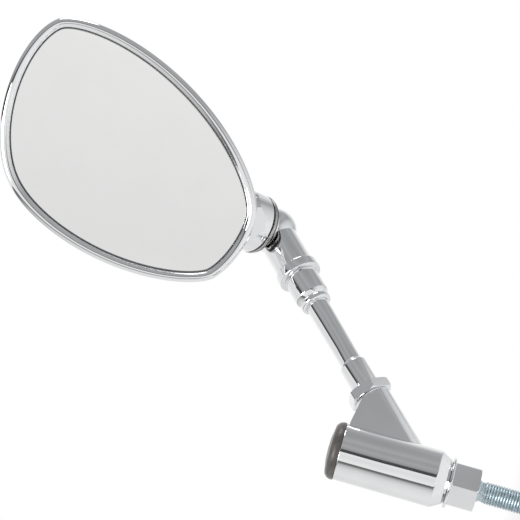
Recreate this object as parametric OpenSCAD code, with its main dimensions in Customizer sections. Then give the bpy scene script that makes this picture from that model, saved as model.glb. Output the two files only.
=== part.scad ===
// Screw-in motorcycle mirror: threaded stud, friction pivot, stem, ball elbow and teardrop head.
// Z runs up the stud and the pivot. Z = 0 is the shoulder of the base hexagon that seats on the lever bracket.

/* [Mounting stud] */
// Thread diameter of the mounting stud
stud_d = 10; // [8:0.5:11]
// Length of the stud below its shoulder
stud_len = 25; // [18:1:40]
// Chamfer at the free end of the stud
stud_chamfer = 0.8; // [0.4:0.1:1.5]
// Diameter of the plain shank that carries the pivot
shank_d = 8; // [6:0.5:8.5]

/* [Base hexagon] */
// Width of the base hexagon across its flats
base_flats = 19; // [16:0.5:21]
// Height of the base hexagon
base_h = 12; // [8:0.5:18]
// Turn of the base hexagon about the stud
base_turn = -3.5; // [-30:0.5:30]
// Chamfer that rounds the corners of both hexagons
hex_chamfer = 0.9; // [0.4:0.1:1.5]
// Diameter of the friction washer on top of the hexagon
washer_d = 23; // [22.5:0.5:26]
// Thickness of the friction washer
washer_t = 1.2; // [0.8:0.1:2]

/* [Pivot housing] */
// Diameter of the pivot housing
housing_d = 26; // [25:0.5:30]
// Height of the straight part of the housing
housing_h = 44.6; // [42:0.2:50]
// Height of the cone under the straight part
cone_h = 5.6; // [3:0.2:8]
// Diameter of the small end of the cone
cone_d = 19.6; // [17:0.2:22]
// Edge rounding at the open end of the housing
rim_chamfer = 0.4; // [0.2:0.1:0.8]
// Diameter of the bush in the lower bore
bush_d = 13; // [11:0.5:14]
// Length of the bush
bush_len = 26; // [20:0.5:28]
// Diameter of the spring chamber above the bush
chamber_d = 20.4; // [19:0.2:21]

/* [Friction stack] */
// Thickness of the steel washers in the stack
stack_washer_t = 1.5; // [1:0.1:2]
// Number of disc springs
disc_count = 4; // [2:1:6]
// Thickness of one disc spring
disc_t = 0.9; // [0.6:0.1:1.1]
// Free cone height of one disc spring
disc_cone = 0.7; // [0.4:0.1:1]
// Outer diameter of the disc springs
disc_d = 17; // [15:0.5:18]
// Width of the lock nut across its flats
lock_flats = 13; // [12:0.5:14]
// Height of the steel body of the lock nut
lock_h = 5.6; // [4:0.2:6]
// Height of the nylon insert in the lock nut
insert_h = 1.8; // [1.2:0.1:2.2]

/* [End cap] */
// How far the end cap stands out beyond the housing all round
cap_proud = 0.2; // [0:0.05:0.5]
// Height that the cap stands above the housing
cap_h = 5.4; // [4:0.2:8]
// Radius of the rounded edge of the cap
cap_round = 3.6; // [2:0.2:3.8]
// Length of the cap skirt inside the housing
skirt_len = 5; // [3:0.5:5]
// Wall of the cap skirt
skirt_wall = 1.6; // [1:0.1:2.5]

/* [Arm] */
// Angle between the stud and the stem
stem_tilt = 49.2; // [44:0.2:56]
// Height on the pivot axis where the stem axis crosses it
cross_z = 27.5; // [25:0.5:30]
// Diameter of the round hub that takes the stem
hub_d = 17.4; // [16:0.2:19]
// Distance from the pivot axis to the end of the hub, along the stem
hub_reach = 43; // [40:0.5:48]
// Chamfer at the end of the hub
hub_chamfer = 0.9; // [0.4:0.1:1.5]
// Distance of the gusset's top edge below the rim of the housing
gusset_drop = 1.2; // [0.6:0.1:3]
// Fall of the gusset's top edge over its length
gusset_fall = 2.2; // [0:0.2:4]

/* [Stem] */
// Thread diameter at the foot of the stem
foot_d = 12; // [10:0.5:12.5]
// Length of the stem thread inside the hub
foot_len = 19; // [14:0.5:20]
// Width of the jam nut across its flats
jam_flats = 19; // [18:0.5:21]
// Thickness of the jam nut
jam_h = 4.8; // [4:0.2:7]
// Turn of the jam nut about the stem
jam_turn = 24.2; // [0:0.2:60]
// Diameter of the shoulder above the jam nut
shoulder_d = 12.9; // [12.6:0.1:14]
// Length of the shoulder above the jam nut
shoulder_len = 15.6; // [10:0.2:20]
// Diameter of the stem above its shoulder
stem_low_d = 10.3; // [9:0.1:11]
// Diameter of the stem at its upper ring
stem_top_d = 11.1; // [10:0.1:12]
// Length from the shoulder to the upper ring
stem_len = 37; // [30:0.5:60]

/* [Stem clamp] */
// Diameter of the upper ring
ring_d = 15.2; // [14:0.2:16.6]
// Height of the upper ring
ring_h = 3; // [2:0.2:4]
// Diameter of the clamp sleeve
sleeve_d = 17; // [16:0.2:18]
// Length of the clamp sleeve
sleeve_len = 15.2; // [10:0.2:20]
// Diameter of the collar at the foot of the elbow
collar_d = 21.8; // [20:0.2:24]
// Height of the collar
collar_h = 5.2; // [3:0.2:7]

/* [Elbow] */
// Diameter of the elbow's leg
leg_d = 19; // [18:0.2:21]
// Length of the leg from the top of the collar to the corner
leg_len = 26.4; // [24:0.2:32]
// Diameter of the rounded corner of the elbow
corner_d = 23.6; // [22:0.2:25]
// Angle between the stem and the neck
neck_tilt = 77.5; // [70:0.5:90]
// Turn of the neck about the stem
neck_turn = 216.9; // [180:0.5:240]
// Diameter of the neck
neck_d = 20.8; // [19:0.2:21]
// Distance from the corner to the centre of the ball
neck_len = 13.8; // [13.6:0.2:18]
// Diameter of the ball
ball_d = 24; // [23.6:0.2:24.4]

/* [Ball socket] */
// Wall of the ball seats
seat_wall = 0.95; // [0.8:0.05:1.2]
// Clearance between the ball, its seats and the socket
ball_gap = 0.15; // [0.1:0.05:0.3]
// Wall of the boss round the socket
boss_wall = 1.65; // [1.4:0.05:3]
// Length of the boss's straight part behind the ball centre
boss_straight = 8; // [7:0.5:9]
// Run of the boss along the head, down into the bowl
boss_run_x = 22; // [20:0.5:24]
// Run of the boss across the head
boss_run_y = 7; // [5:0.5:9]
// Distance from the ball centre to the mouth of the boss
mouth_reach = 1; // [0.9:0.1:1.4]
// Thickness of the gasket at the mouth
gasket_t = 0.9; // [0.5:0.1:1.5]
// Thickness of the trim ring's flange
trim_t = 1.6; // [1:0.1:1.8]
// Thickness of the outer dust seal
dust_t = 0.9; // [0.5:0.1:1]
// Distance from the ball centre to the end of the trim ring's skirt
skirt_top = 0.8; // [0.7:0.1:0.9]

/* [Head outline] */
// Mean distance of the outline from its centre
head_r = 61.4; // [60:0.2:68]
// Half the difference between the length and the width of the head
head_long = 11.3; // [10:0.1:11.8]
// Slant of the head's long axis
head_slant = -2.2; // [-2.6:0.1:-1.6]
// Shift of the outline along the head
head_shift = 1.2; // [0:0.2:3]
// Narrowing of the head towards the socket
head_taper = -1.8; // [-2.2:0.1:-1.2]
// Sideways swing of the narrow end
head_swing = -2.2; // [-2.4:0.1:-1.6]
// Squareness of the outline
head_square = -1.5; // [-1.7:0.1:-1]
// Slant of the outline's flatter sides
head_lean = -1.2; // [-1.4:0.1:-0.8]
// Fine correction of the two ends
head_ends = 0.7; // [0.4:0.1:0.9]
// Width of the rolled rim, from its outside to the glass pocket
rim_w = 4.7; // [4:0.1:6]
// Height of the rolled rim above the glass
rim_rise = 2.4; // [1:0.1:3]
// Depth of the head behind the glass
bowl_depth = 25; // [20:0.5:32]
// Wall of the head shell
shell_wall = 1.8; // [1.5:0.1:2.5]

/* [Head place] */
// Ball centre along the head, from the outline's centre
socket_x = -67.3; // [-70:0.1:-64]
// Ball centre across the head, from the outline's centre
socket_y = -17.3; // [-20:0.1:-14]
// Depth of the ball centre behind the face of the glass
socket_depth = 16.9; // [16:0.1:20]
// Lean of the socket axis away from the line of sight
socket_lean = 120.3; // [110:0.1:130]
// Turn of the socket axis in the plane of the glass
socket_turn = 199; // [190:0.5:210]
// Attitude of the head at rest, as turns about X, Y and Z
head_turn_x = 115.2; // [105:0.2:125]
// Second turn of the head
head_turn_y = -60.8; // [-70:0.2:-50]
// Third turn of the head
head_turn_z = -62.9; // [-72:0.2:-52]

/* [Glass] */
// Thickness of the mirror glass
glass_t = 3; // [2:0.1:3.2]
// Thickness of the adhesive pad behind the glass
pad_t = 1.4; // [1:0.1:2]
// Width of the seal around the glass
seal_w = 0.4; // [0.3:0.1:1]
// Bevel along the edge of the glass
glass_bevel = 0.5; // [0.2:0.1:0.8]

/* [Fits] */
// Radial clearance of turning fits
run_gap = 0.05; // [0.03:0.01:0.08]
// Gap between faces that slide on each other
face_gap = 0.05; // [0.02:0.01:0.1]
// Clearance of pieces that are put together and stay
seat_gap = 0.04; // [0.02:0.01:0.1]

/* [Hidden] */
$fn = 96;
outline_steps = 96;
eps = 0.01;

// Heights on the pivot axis
washer_top = base_h + washer_t;
housing_low = washer_top + face_gap;
straight_low = housing_low + cone_h;
rim_z = straight_low + housing_h;
chamber_low = housing_low + bush_len;
stack_low = chamber_low + stack_washer_t;
disc_pitch = disc_t + disc_cone;
stack_top = stack_low + disc_count * disc_pitch;
lock_low = stack_top + face_gap + stack_washer_t;
insert_low = lock_low + lock_h;
shank_top = insert_low + insert_h + 0.8;

// Places along the stem, from the pivot axis
jam_top = hub_reach + jam_h;
shoulder_top = jam_top + shoulder_len;
ring_low = shoulder_top + stem_len;
sleeve_low = ring_low + ring_h;
collar_low = sleeve_low + sleeve_len;
collar_top = collar_low + collar_h;
corner_at = collar_top + leg_len;
stem_top = collar_top + leg_len * 0.5;

// Radii round the ball
ball_r = ball_d / 2;
seat_in = ball_r + ball_gap;
seat_out = seat_in + seat_wall;
socket_r = seat_out + ball_gap;
boss_r = socket_r + boss_wall;
root_r = boss_r - 3.9;
mouth_r = seat_in + 0.1;
lip_r = mouth_r + 1.1;
spring_r = 4.4;
spring_hole_r = 2.2;
spring_t = 0.7;
spring_low = -(socket_r + 2);

// Heights in the head, with the face of the glass at zero
pocket_floor = -(glass_t + pad_t + 2 * seat_gap);

// Places a piece on the stem axis, a distance from the pivot axis
module on_stem(distance) {
    translate([0, 0, cross_z]) rotate([0, stem_tilt, 0]) translate([0, 0, distance]) children();
}

// Places a piece on the neck axis, with its origin at the centre of the ball and Z away from the head
module at_ball() {
    on_stem(corner_at) rotate([0, neck_tilt, neck_turn]) translate([0, 0, neck_len])
        mirror([0, 0, 1]) children();
}

// Places a piece drawn in the plane of the glass
module in_head() {
    at_ball_point() rotate([head_turn_x, head_turn_y, head_turn_z])
        translate([-socket_x, -socket_y, socket_depth]) children();
}

// Moves the origin to the centre of the ball and leaves the directions alone
module at_ball_point() {
    translate([
        corner_at * sin(stem_tilt) + neck_len * neck_dir_x,
        neck_len * sin(neck_tilt) * sin(neck_turn),
        cross_z + corner_at * cos(stem_tilt) + neck_len * neck_dir_z]) children();
}
neck_dir_x = cos(stem_tilt) * sin(neck_tilt) * cos(neck_turn) + sin(stem_tilt) * cos(neck_tilt);
neck_dir_z = cos(stem_tilt) * cos(neck_tilt) - sin(stem_tilt) * sin(neck_tilt) * cos(neck_turn);

// Places a piece in the socket of the head, with Z towards the mouth
module in_socket() {
    in_head() socket_frame() children();
}
module socket_frame() {
    translate([socket_x, socket_y, -socket_depth]) rotate([0, socket_lean, socket_turn]) children();
}

// A hexagon prism whose corners are turned off at both ends
module hex_prism(flats, height, chamfer) {
    corner_r = flats / 2 / cos(30);
    intersection() {
        cylinder(r = corner_r, h = height, $fn = 6);
        rotate_extrude() polygon([[0, 0], [corner_r - chamfer, 0], [corner_r, chamfer * 0.6],
            [corner_r, height - chamfer * 0.6], [corner_r - chamfer, height], [0, height]]);
    }
}

// A flat ring
module ring(outer_r, inner_r, height) {
    difference() {
        cylinder(r = outer_r, h = height);
        translate([0, 0, -1]) cylinder(r = inner_r, h = height + 2);
    }
}

// A zone of a hollow ball between two heights
module ball_zone(outer_r, inner_r, low, high) {
    intersection() {
        difference() {
            sphere(r = outer_r);
            sphere(r = inner_r);
        }
        translate([0, 0, low]) cylinder(r = outer_r + 1, h = high - low);
    }
}

module pivot_stud() {
    color("lightsteelblue") rotate_extrude() polygon([
        [0, -stud_len], [stud_d / 2 - stud_chamfer, -stud_len], [stud_d / 2, stud_chamfer - stud_len],
        [stud_d / 2, 0], [shank_d / 2, 0], [shank_d / 2, shank_top - stud_chamfer],
        [shank_d / 2 - stud_chamfer, shank_top], [0, shank_top]]);
}

module base_hex() {
    color("gainsboro") difference() {
        rotate([0, 0, base_turn]) hex_prism(base_flats, base_h, hex_chamfer);
        translate([0, 0, -1]) cylinder(d = shank_d + 2 * seat_gap, h = base_h + 2);
    }
}

module friction_washer() {
    color("silver") translate([0, 0, base_h]) ring(washer_d / 2, shank_d / 2 + seat_gap, washer_t);
}

// Side view of the gusset, in the plane of the two axes
module gusset_profile() {
    top_z = rim_z - gusset_drop;
    hub_r = hub_d / 2;
    foot_x = housing_d / 4;
    end_x = hub_reach * sin(stem_tilt);
    end_z = cross_z + hub_reach * cos(stem_tilt);
    side_x = cos(stem_tilt);
    side_z = sin(stem_tilt);
    top_x = end_x - hub_r * side_x * 0.5 - 4;
    low_x = foot_x;
    low_z = cross_z + foot_x / tan(stem_tilt) - hub_r / sin(stem_tilt) * 0.2;
    polygon([[foot_x, low_z], [end_x - 2 * sin(stem_tilt), end_z - 2 * cos(stem_tilt)],
        [top_x, top_z - gusset_fall], [housing_d / 2 - 2, top_z], [foot_x, top_z]]);
}

module arm_form() {
    on_stem(0) rotate_extrude() polygon([[0, 4], [hub_d / 2, 4], [hub_d / 2, hub_reach - hub_chamfer],
        [hub_d / 2 - hub_chamfer, hub_reach], [0, hub_reach]]);
    rotate([90, 0, 0]) linear_extrude(height = hub_d, center = true) gusset_profile();
}

module pivot_housing() {
    color("gainsboro") difference() {
        union() {
            rotate_extrude() polygon([[0, housing_low], [cone_d / 2, housing_low], [housing_d / 2, straight_low],
                [housing_d / 2, rim_z - rim_chamfer], [housing_d / 2 - rim_chamfer, rim_z], [0, rim_z]]);
            arm_form();
        }
        translate([0, 0, housing_low - 1]) cylinder(d = bush_d + 2 * seat_gap, h = bush_len + 2);
        translate([0, 0, chamber_low]) cylinder(d = chamber_d, h = rim_z - chamber_low + 1);
        on_stem(hub_reach - foot_len - 1) cylinder(d = foot_d + 2 * run_gap, h = foot_len + 2);
    }
}

module pivot_bush() {
    color("peru") translate([0, 0, housing_low + face_gap])
        ring(bush_d / 2, shank_d / 2 + run_gap, bush_len - face_gap);
}

module thrust_washer() {
    color("silver") translate([0, 0, chamber_low])
        ring(disc_d / 2 + 0.8, shank_d / 2 + run_gap, stack_washer_t);
}

// One disc spring, wide at its foot or at its top
module disc_spring(flip) {
    hole_r = shank_d / 2 + 0.3;
    low = flip ? disc_cone : 0;
    high = disc_cone - low;
    rotate_extrude() polygon([[disc_d / 2, low], [disc_d / 2, low + disc_t], [hole_r, high + disc_t], [hole_r, high]]);
}

module disc_springs() {
    color("dimgray") for (i = [0 : disc_count - 1])
        translate([0, 0, stack_low + i * disc_pitch]) disc_spring(i % 2 == 1);
}

module top_washer() {
    color("silver") translate([0, 0, stack_top + face_gap])
        ring(disc_d / 2, shank_d / 2 + seat_gap, stack_washer_t);
}

module lock_nut() {
    color("silver") translate([0, 0, lock_low]) difference() {
        hex_prism(lock_flats, lock_h, hex_chamfer);
        translate([0, 0, -1]) cylinder(d = shank_d + 2 * seat_gap, h = lock_h + 2);
    }
}

module nut_insert() {
    color("royalblue") translate([0, 0, insert_low])
        ring(lock_flats / 2 - 0.6, shank_d / 2 + seat_gap, insert_h);
}

module end_cap() {
    skirt_r = chamber_d / 2 - seat_gap;
    cap_r = housing_d / 2 + cap_proud;
    inner_top = rim_z + cap_h - 2.4;
    color("dimgray") rotate_extrude() polygon(concat(
        [[0, inner_top], [skirt_r - skirt_wall, inner_top - 1], [skirt_r - skirt_wall, rim_z - skirt_len],
            [skirt_r, rim_z - skirt_len], [skirt_r, rim_z], [cap_r, rim_z], [cap_r, rim_z + cap_h - cap_round - 1]],
        [for (i = [1 : 6]) [cap_r - cap_round * (1 - cos(15 * i)),
            rim_z + cap_h - cap_round - 1 + cap_round * sin(15 * i)]],
        [[cap_r / 2, rim_z + cap_h - 0.3], [0, rim_z + cap_h]]));
}

module jam_nut() {
    color("gainsboro") on_stem(hub_reach) difference() {
        rotate([0, 0, jam_turn]) hex_prism(jam_flats, jam_h, hex_chamfer);
        translate([0, 0, -1]) cylinder(d = foot_d + 2 * run_gap, h = jam_h + 2);
    }
}

module stem() {
    foot_low = hub_reach - foot_len;
    top_r = stem_top_d / 2;
    color("gainsboro") on_stem(0) rotate_extrude() polygon([
        [0, foot_low], [foot_d / 2 - stud_chamfer, foot_low], [foot_d / 2, foot_low + stud_chamfer],
        [foot_d / 2, jam_top + face_gap], [shoulder_d / 2, jam_top + face_gap],
        [shoulder_d / 2, shoulder_top - 1], [shoulder_d / 2 - 0.5, shoulder_top],
        [stem_low_d / 2, shoulder_top + 0.4], [stem_low_d / 2, shoulder_top + 8],
        [top_r, ring_low - 6], [top_r, stem_top - stud_chamfer], [top_r - stud_chamfer, stem_top], [0, stem_top]]);
}

module stem_ring() {
    ring_r = ring_d / 2;
    hole_r = stem_top_d / 2 + seat_gap;
    color("gainsboro") on_stem(ring_low) rotate_extrude() polygon([[hole_r, 0], [ring_r - 0.8, 0],
        [ring_r - 0.2, 0.4], [ring_r, 1], [ring_r, ring_h - 0.6], [ring_r - 0.4, ring_h], [hole_r, ring_h]]);
}

module clamp_sleeve() {
    sleeve_r = sleeve_d / 2;
    hole_r = stem_top_d / 2 + seat_gap;
    color("gainsboro") on_stem(sleeve_low) rotate_extrude() polygon([[hole_r, 0], [ring_d / 2 - 0.6, 0],
        [sleeve_r, 2.4], [sleeve_r, sleeve_len - 0.4], [sleeve_r - 0.4, sleeve_len], [hole_r, sleeve_len]]);
}

module elbow() {
    collar_r = collar_d / 2;
    color("gainsboro") difference() {
        union() {
            on_stem(collar_low) rotate_extrude() polygon([[0, 0], [collar_r - 0.6, 0], [collar_r, 0.6],
                [collar_r, collar_h - 0.8], [collar_r - 0.8, collar_h], [leg_d / 2, collar_h],
                [leg_d / 2, collar_h + leg_len], [0, collar_h + leg_len]]);
            on_stem(corner_at) sphere(d = corner_d);
            at_ball() {
                sphere(d = ball_d);
                cylinder(d = neck_d, h = neck_len);
            }
        }
        on_stem(collar_low - 1) cylinder(d = stem_top_d + 2 * seat_gap, h = stem_top - collar_low + 1.2);
    }
}

module seat_front() {
    color("whitesmoke") in_socket() ball_zone(seat_out, seat_in, -seat_out * 0.46, -seat_out * 0.07);
}

module seat_rear() {
    color("whitesmoke") in_socket() ball_zone(seat_out, seat_in, -seat_out - 1, -seat_out * 0.626);
}

module seat_spring() {
    color("silver") in_socket() rotate_extrude() polygon([[spring_r, spring_low], [spring_r, spring_low + spring_t],
        [spring_hole_r, -seat_out - 0.1], [spring_hole_r, -seat_out - 0.1 - spring_t]]);
}

module socket_gasket() {
    color("dimgray") in_socket() translate([0, 0, mouth_reach]) ring(boss_r - boss_wall / 4, socket_r, gasket_t);
}

module trim_ring() {
    skirt_r = socket_r - seat_gap;
    low = mouth_reach + gasket_t;
    high = low + trim_t;
    lip_top = high + dust_t - 0.2;
    color("gainsboro") in_socket() rotate_extrude() polygon([[mouth_r, skirt_top], [skirt_r, skirt_top],
        [skirt_r, low], [boss_r, low], [boss_r, high - 0.4], [boss_r - 0.4, high], [lip_r, high],
        [lip_r, lip_top], [mouth_r, lip_top]]);
}

// Rubber ring on the face of the trim ring, round its lip
module dust_seal() {
    low = mouth_reach + gasket_t + trim_t;
    outer_r = boss_r - 0.3;
    inner_r = lip_r + seat_gap;
    color("dimgray") in_socket() rotate_extrude() polygon([[inner_r, low], [outer_r - 0.2, low],
        [outer_r - 0.2, low + dust_t - 0.3], [outer_r - 0.5, low + dust_t], [inner_r, low + dust_t]]);
}

// Distance of the outline's tangent from the centre, for each direction that the edge faces, and its slope
function reach(a) = head_r + head_shift * cos(a) + head_long * cos(2 * a) + head_slant * sin(2 * a)
    + head_taper * cos(3 * a) + head_swing * sin(3 * a) + head_square * cos(4 * a) + head_lean * sin(4 * a)
    + head_ends * (cos(5 * a) + 0.4 * sin(5 * a));
function reach_slope(a) = -head_shift * sin(a) - 2 * head_long * sin(2 * a) + 2 * head_slant * cos(2 * a)
    - 3 * head_taper * sin(3 * a) + 3 * head_swing * cos(3 * a) - 4 * head_square * sin(4 * a)
    + 4 * head_lean * cos(4 * a) + 5 * head_ends * (0.4 * cos(5 * a) - sin(5 * a));
// Points of the outline, moved inwards by the inset square to its edge
function outline(inset) = [for (i = [0 : outline_steps - 1]) let (a = 360 * i / outline_steps)
    (reach(a) - inset) * [cos(a), sin(a)] + reach_slope(a) * [-sin(a), cos(a)]];

// Outline shrunk towards the deepest point of the bowl
bowl_apex = [-12, -3];
function bowl_ring(share, inset) = [for (p = outline(inset)) bowl_apex + share * (p - bowl_apex)];
// Share of the outline that is left at a share of the depth
function bowl_share(depth) = pow(1 - pow(depth, 2.4), 1 / 2.1);

// Rings of the shell from the back of the bowl, over the rolled rim and down to the inside of the bowl
bowl_steps = 9;
rim_back = -3.6;
boss_drop = 2.4;
depth_steps = [for (i = [0 : bowl_steps]) sin(90 * i / (bowl_steps + 0.35))];
function outer_ring(i) = [bowl_ring(bowl_share(depth_steps[i]), 2.2), rim_back - (bowl_depth + rim_back) * depth_steps[i]];
function inner_ring(i) = [bowl_ring(bowl_share(depth_steps[i]), rim_w + 2.4),
    pocket_floor - 1.5 - (bowl_depth - shell_wall + pocket_floor - 1.5) * depth_steps[i]];
rim_profile = [[1.0, -2.8], [0.25, -1.6], [0, -0.2], [0.2, 1.0], [0.9, 1.9], [1.9, rim_rise], [2.9, rim_rise],
    [3.8, 1.9], [rim_w - 0.1, 1.0], [rim_w, 0.2], [rim_w, pocket_floor], [rim_w + 2.4, pocket_floor]];
shell_rings = concat([for (i = [bowl_steps : -1 : 0]) outer_ring(i)],
    [for (p = rim_profile) [outline(p[0]), p[1]]],
    [for (i = [0 : bowl_steps]) inner_ring(i)]);

module bowl() {
    rings = len(shell_rings);
    points = [for (r = shell_rings) for (p = r[0]) [p[0], p[1], r[1]]];
    sides = [for (k = [0 : rings - 2]) for (i = [0 : outline_steps - 1])
        let (j = (i + 1) % outline_steps)
        [k * outline_steps + i, (k + 1) * outline_steps + i, (k + 1) * outline_steps + j, k * outline_steps + j]];
    first = [for (i = [0 : outline_steps - 1]) i];
    last = [for (i = [outline_steps - 1 : -1 : 0]) (rings - 1) * outline_steps + i];
    polyhedron(points, concat(sides, [first, last]));
}

// Round boss for the ball, flowing into the bowl and cut off level under the rim
module boss_form() {
    intersection() {
        hull() {
            socket_frame() translate([0, 0, -boss_straight])
                cylinder(r = boss_r, h = mouth_reach + boss_straight, $fn = 64);
            translate([socket_x + boss_run_x, socket_y + boss_run_y, -socket_depth + 1])
                sphere(r = root_r, $fn = 32);
        }
        translate([socket_x - 60, socket_y - 60, -60]) cube([120, 120, 60 - boss_drop]);
    }
}

module head_shell() {
    color("gainsboro") in_head() difference() {
        union() {
            bowl();
            boss_form();
        }
        translate([0, 0, pocket_floor]) linear_extrude(height = rim_rise + 10) polygon(outline(rim_w));
        socket_frame() {
            sphere(r = socket_r);
            cylinder(r = socket_r, h = mouth_reach + 4);
            translate([0, 0, spring_low - 0.1]) cylinder(r = spring_r + 0.2, h = 6);
        }
    }
}

module glass_seal() {
    color("black") in_head() translate([0, 0, -glass_t]) linear_extrude(height = glass_t - 0.4) difference() {
        polygon(outline(rim_w + seat_gap));
        polygon(outline(rim_w + seat_gap + seal_w));
    }
}

module mirror_glass() {
    edge = rim_w + 2 * seat_gap + seal_w;
    color("lightgray") in_head() union() {
        translate([0, 0, -glass_t]) linear_extrude(height = glass_t - glass_bevel) polygon(outline(edge));
        translate([0, 0, -glass_bevel - eps]) linear_extrude(height = glass_bevel + eps)
            polygon(outline(edge + glass_bevel));
    }
}

module backing_pad() {
    color("darkslategray") in_head() translate([0, 0, pocket_floor + seat_gap])
        linear_extrude(height = pad_t) polygon(outline(rim_w + 1));
}

pivot_stud();
base_hex();
friction_washer();
pivot_housing();
pivot_bush();
thrust_washer();
disc_springs();
top_washer();
lock_nut();
nut_insert();
end_cap();
jam_nut();
stem();
stem_ring();
clamp_sleeve();
elbow();
seat_front();
seat_rear();
seat_spring();
socket_gasket();
trim_ring();
dust_seal();
head_shell();
glass_seal();
mirror_glass();
backing_pad();
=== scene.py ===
import bpy
import bmesh
from math import sin, cos, tan, pi, radians
from mathutils import Matrix, Vector


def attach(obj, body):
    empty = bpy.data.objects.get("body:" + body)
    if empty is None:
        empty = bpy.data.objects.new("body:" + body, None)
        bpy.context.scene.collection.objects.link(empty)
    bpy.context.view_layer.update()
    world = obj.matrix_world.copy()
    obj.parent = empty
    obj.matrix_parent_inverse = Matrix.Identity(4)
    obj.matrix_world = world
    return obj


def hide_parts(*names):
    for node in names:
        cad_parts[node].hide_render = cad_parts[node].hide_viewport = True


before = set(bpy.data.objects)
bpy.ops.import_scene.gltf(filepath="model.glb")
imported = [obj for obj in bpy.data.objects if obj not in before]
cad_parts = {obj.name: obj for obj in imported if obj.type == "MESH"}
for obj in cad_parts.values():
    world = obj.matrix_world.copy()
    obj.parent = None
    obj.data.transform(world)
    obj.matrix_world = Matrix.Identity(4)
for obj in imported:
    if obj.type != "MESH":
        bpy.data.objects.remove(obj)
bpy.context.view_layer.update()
mm = 0.001
print("frame loaded")


# Places on the mirror, in millimetres and degrees

arm = {"stemTilt": 49.2, "crossZ": 27.5, "cornerAt": 150.2,      # the stem, from the pivot axis to the elbow
    "neckTilt": 77.5, "neckTurn": 216.9, "neckLength": 13.8}     # the neck, from the elbow to the ball
head = {"turns": (115.2, -60.8, -62.9), "socket": (-67.3, -17.3, -16.9), "lean": 120.3, "turn": 199.0}
onAxis = Matrix.Identity(4)


def turned(axis, degrees):
    return Matrix.Rotation(radians(degrees), 4, axis)


def onStem(distance):
    place = Matrix.Translation((0, 0, arm["crossZ"])) @ turned("Y", arm["stemTilt"])
    return place @ Matrix.Translation((0, 0, distance))


def neckPlace():
    turn = turned("Z", arm["neckTurn"]) @ turned("Y", arm["neckTilt"])
    return onStem(arm["cornerAt"]) @ turn


ballCentre = (neckPlace() @ Matrix.Translation((0, 0, arm["neckLength"]))).translation
headTurn = turned("Z", head["turns"][2]) @ turned("Y", head["turns"][1]) @ turned("X", head["turns"][0])
headPlace = Matrix.Translation(ballCentre) @ headTurn @ Matrix.Translation(-Vector(head["socket"]))
socketInHead = Matrix.Translation(head["socket"]) @ turned("Z", head["turn"]) @ turned("Y", head["lean"])
socketPlace = headPlace @ socketInHead


# Mesh helpers

def smoothFaces(mesh, sharp):
    mesh.set_sharp_from_angle(angle=radians(sharp))
    for face in mesh.polygons:
        face.use_smooth = True


def cleanMesh(mesh, sharp, closeEnds=False):
    form = bmesh.new()
    form.from_mesh(mesh)
    bmesh.ops.remove_doubles(form, verts=form.verts, dist=1e-7)
    if closeEnds:
        bmesh.ops.holes_fill(form, edges=[e for e in form.edges if e.is_boundary], sides=0)
    bmesh.ops.recalc_face_normals(form, faces=form.faces)
    form.to_mesh(mesh)
    form.free()
    smoothFaces(mesh, sharp)


def newPiece(name, data):
    piece = bpy.data.objects.new(name, data)
    bpy.context.collection.objects.link(piece)
    return piece


def meshPiece(name, points, faces, place, sharp=30):
    mesh = bpy.data.meshes.new(name)
    mesh.from_pydata([place @ Vector(p) * mm for p in points], [], faces)
    mesh.validate()
    cleanMesh(mesh, sharp)
    return newPiece(name, mesh)


def circle(radius, height, steps):
    angles = [2 * pi * i / steps for i in range(steps)]
    return [(radius * cos(a), radius * sin(a), height) for a in angles]


def roundCorners(profile, radius, steps=3):
    # rounds every corner of a profile by about the radius, but not its ends on the axis
    out = []
    count = len(profile)
    for i, p in enumerate(profile):
        here = Vector(p)
        if p[0] < 0.01:
            out.append(tuple(here))
            continue
        before = Vector(profile[i - 1])
        after = Vector(profile[(i + 1) % count])
        cut = min(radius, (before - here).length * 0.45, (after - here).length * 0.45)
        a = here + (before - here).normalized() * cut
        b = here + (after - here).normalized() * cut
        for k in range(steps + 1):
            t = k / steps
            q = a.lerp(here, t).lerp(here.lerp(b, t), t)
            out.append((q.x, q.y))
    return out


def turnedPiece(name, profile, place, steps=160, sharp=30):
    # lathe-turned from a profile of (radius, height); a profile that starts off the axis is a closed ring
    points, faces, rows = [], [], []
    for r, z in profile:
        if r < 0.01:
            rows.append([len(points)] * steps)
            points.append((0, 0, z))
        else:
            rows.append([len(points) + i for i in range(steps)])
            points += circle(r, z, steps)
    last = len(rows) if profile[0][0] > 0.01 else len(rows) - 1
    for k in range(last):
        low, high = rows[k], rows[(k + 1) % len(rows)]
        for i in range(steps):
            j = (i + 1) % steps
            corners = list(dict.fromkeys((low[i], low[j], high[j], high[i])))
            if len(corners) > 2:
                faces.append(corners)
    return meshPiece(name, points, faces, place, sharp)


def ringPiece(name, rings, place, sharp=30, ends=True):
    # joins rings of points one after another; a last ring that repeats the first closes the piece
    count = len(rings[0])
    faces = []
    for k in range(len(rings) - 1):
        for i in range(count):
            j = (i + 1) % count
            faces.append((k * count + i, (k + 1) * count + i, (k + 1) * count + j, k * count + j))
    if ends:
        faces.append(tuple(range(count)))
        faces.append(tuple((len(rings) - 1) * count + i for i in reversed(range(count))))
    return meshPiece(name, [p for ring in rings for p in ring], faces, place, sharp)


def cutWith(piece, tool, kind="DIFFERENCE"):
    modifier = piece.modifiers.new("cut", "BOOLEAN")
    modifier.operation = kind
    modifier.solver = "EXACT"
    modifier.object = tool
    ready = piece.evaluated_get(bpy.context.evaluated_depsgraph_get())
    mesh = bpy.data.meshes.new_from_object(ready)
    piece.modifiers.clear()
    piece.data = mesh
    bpy.data.objects.remove(tool)
    return piece


def keepFlatsFlat(piece):
    weigh = piece.modifiers.new("flats", "WEIGHTED_NORMAL")
    weigh.keep_sharp = True
    return piece


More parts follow.
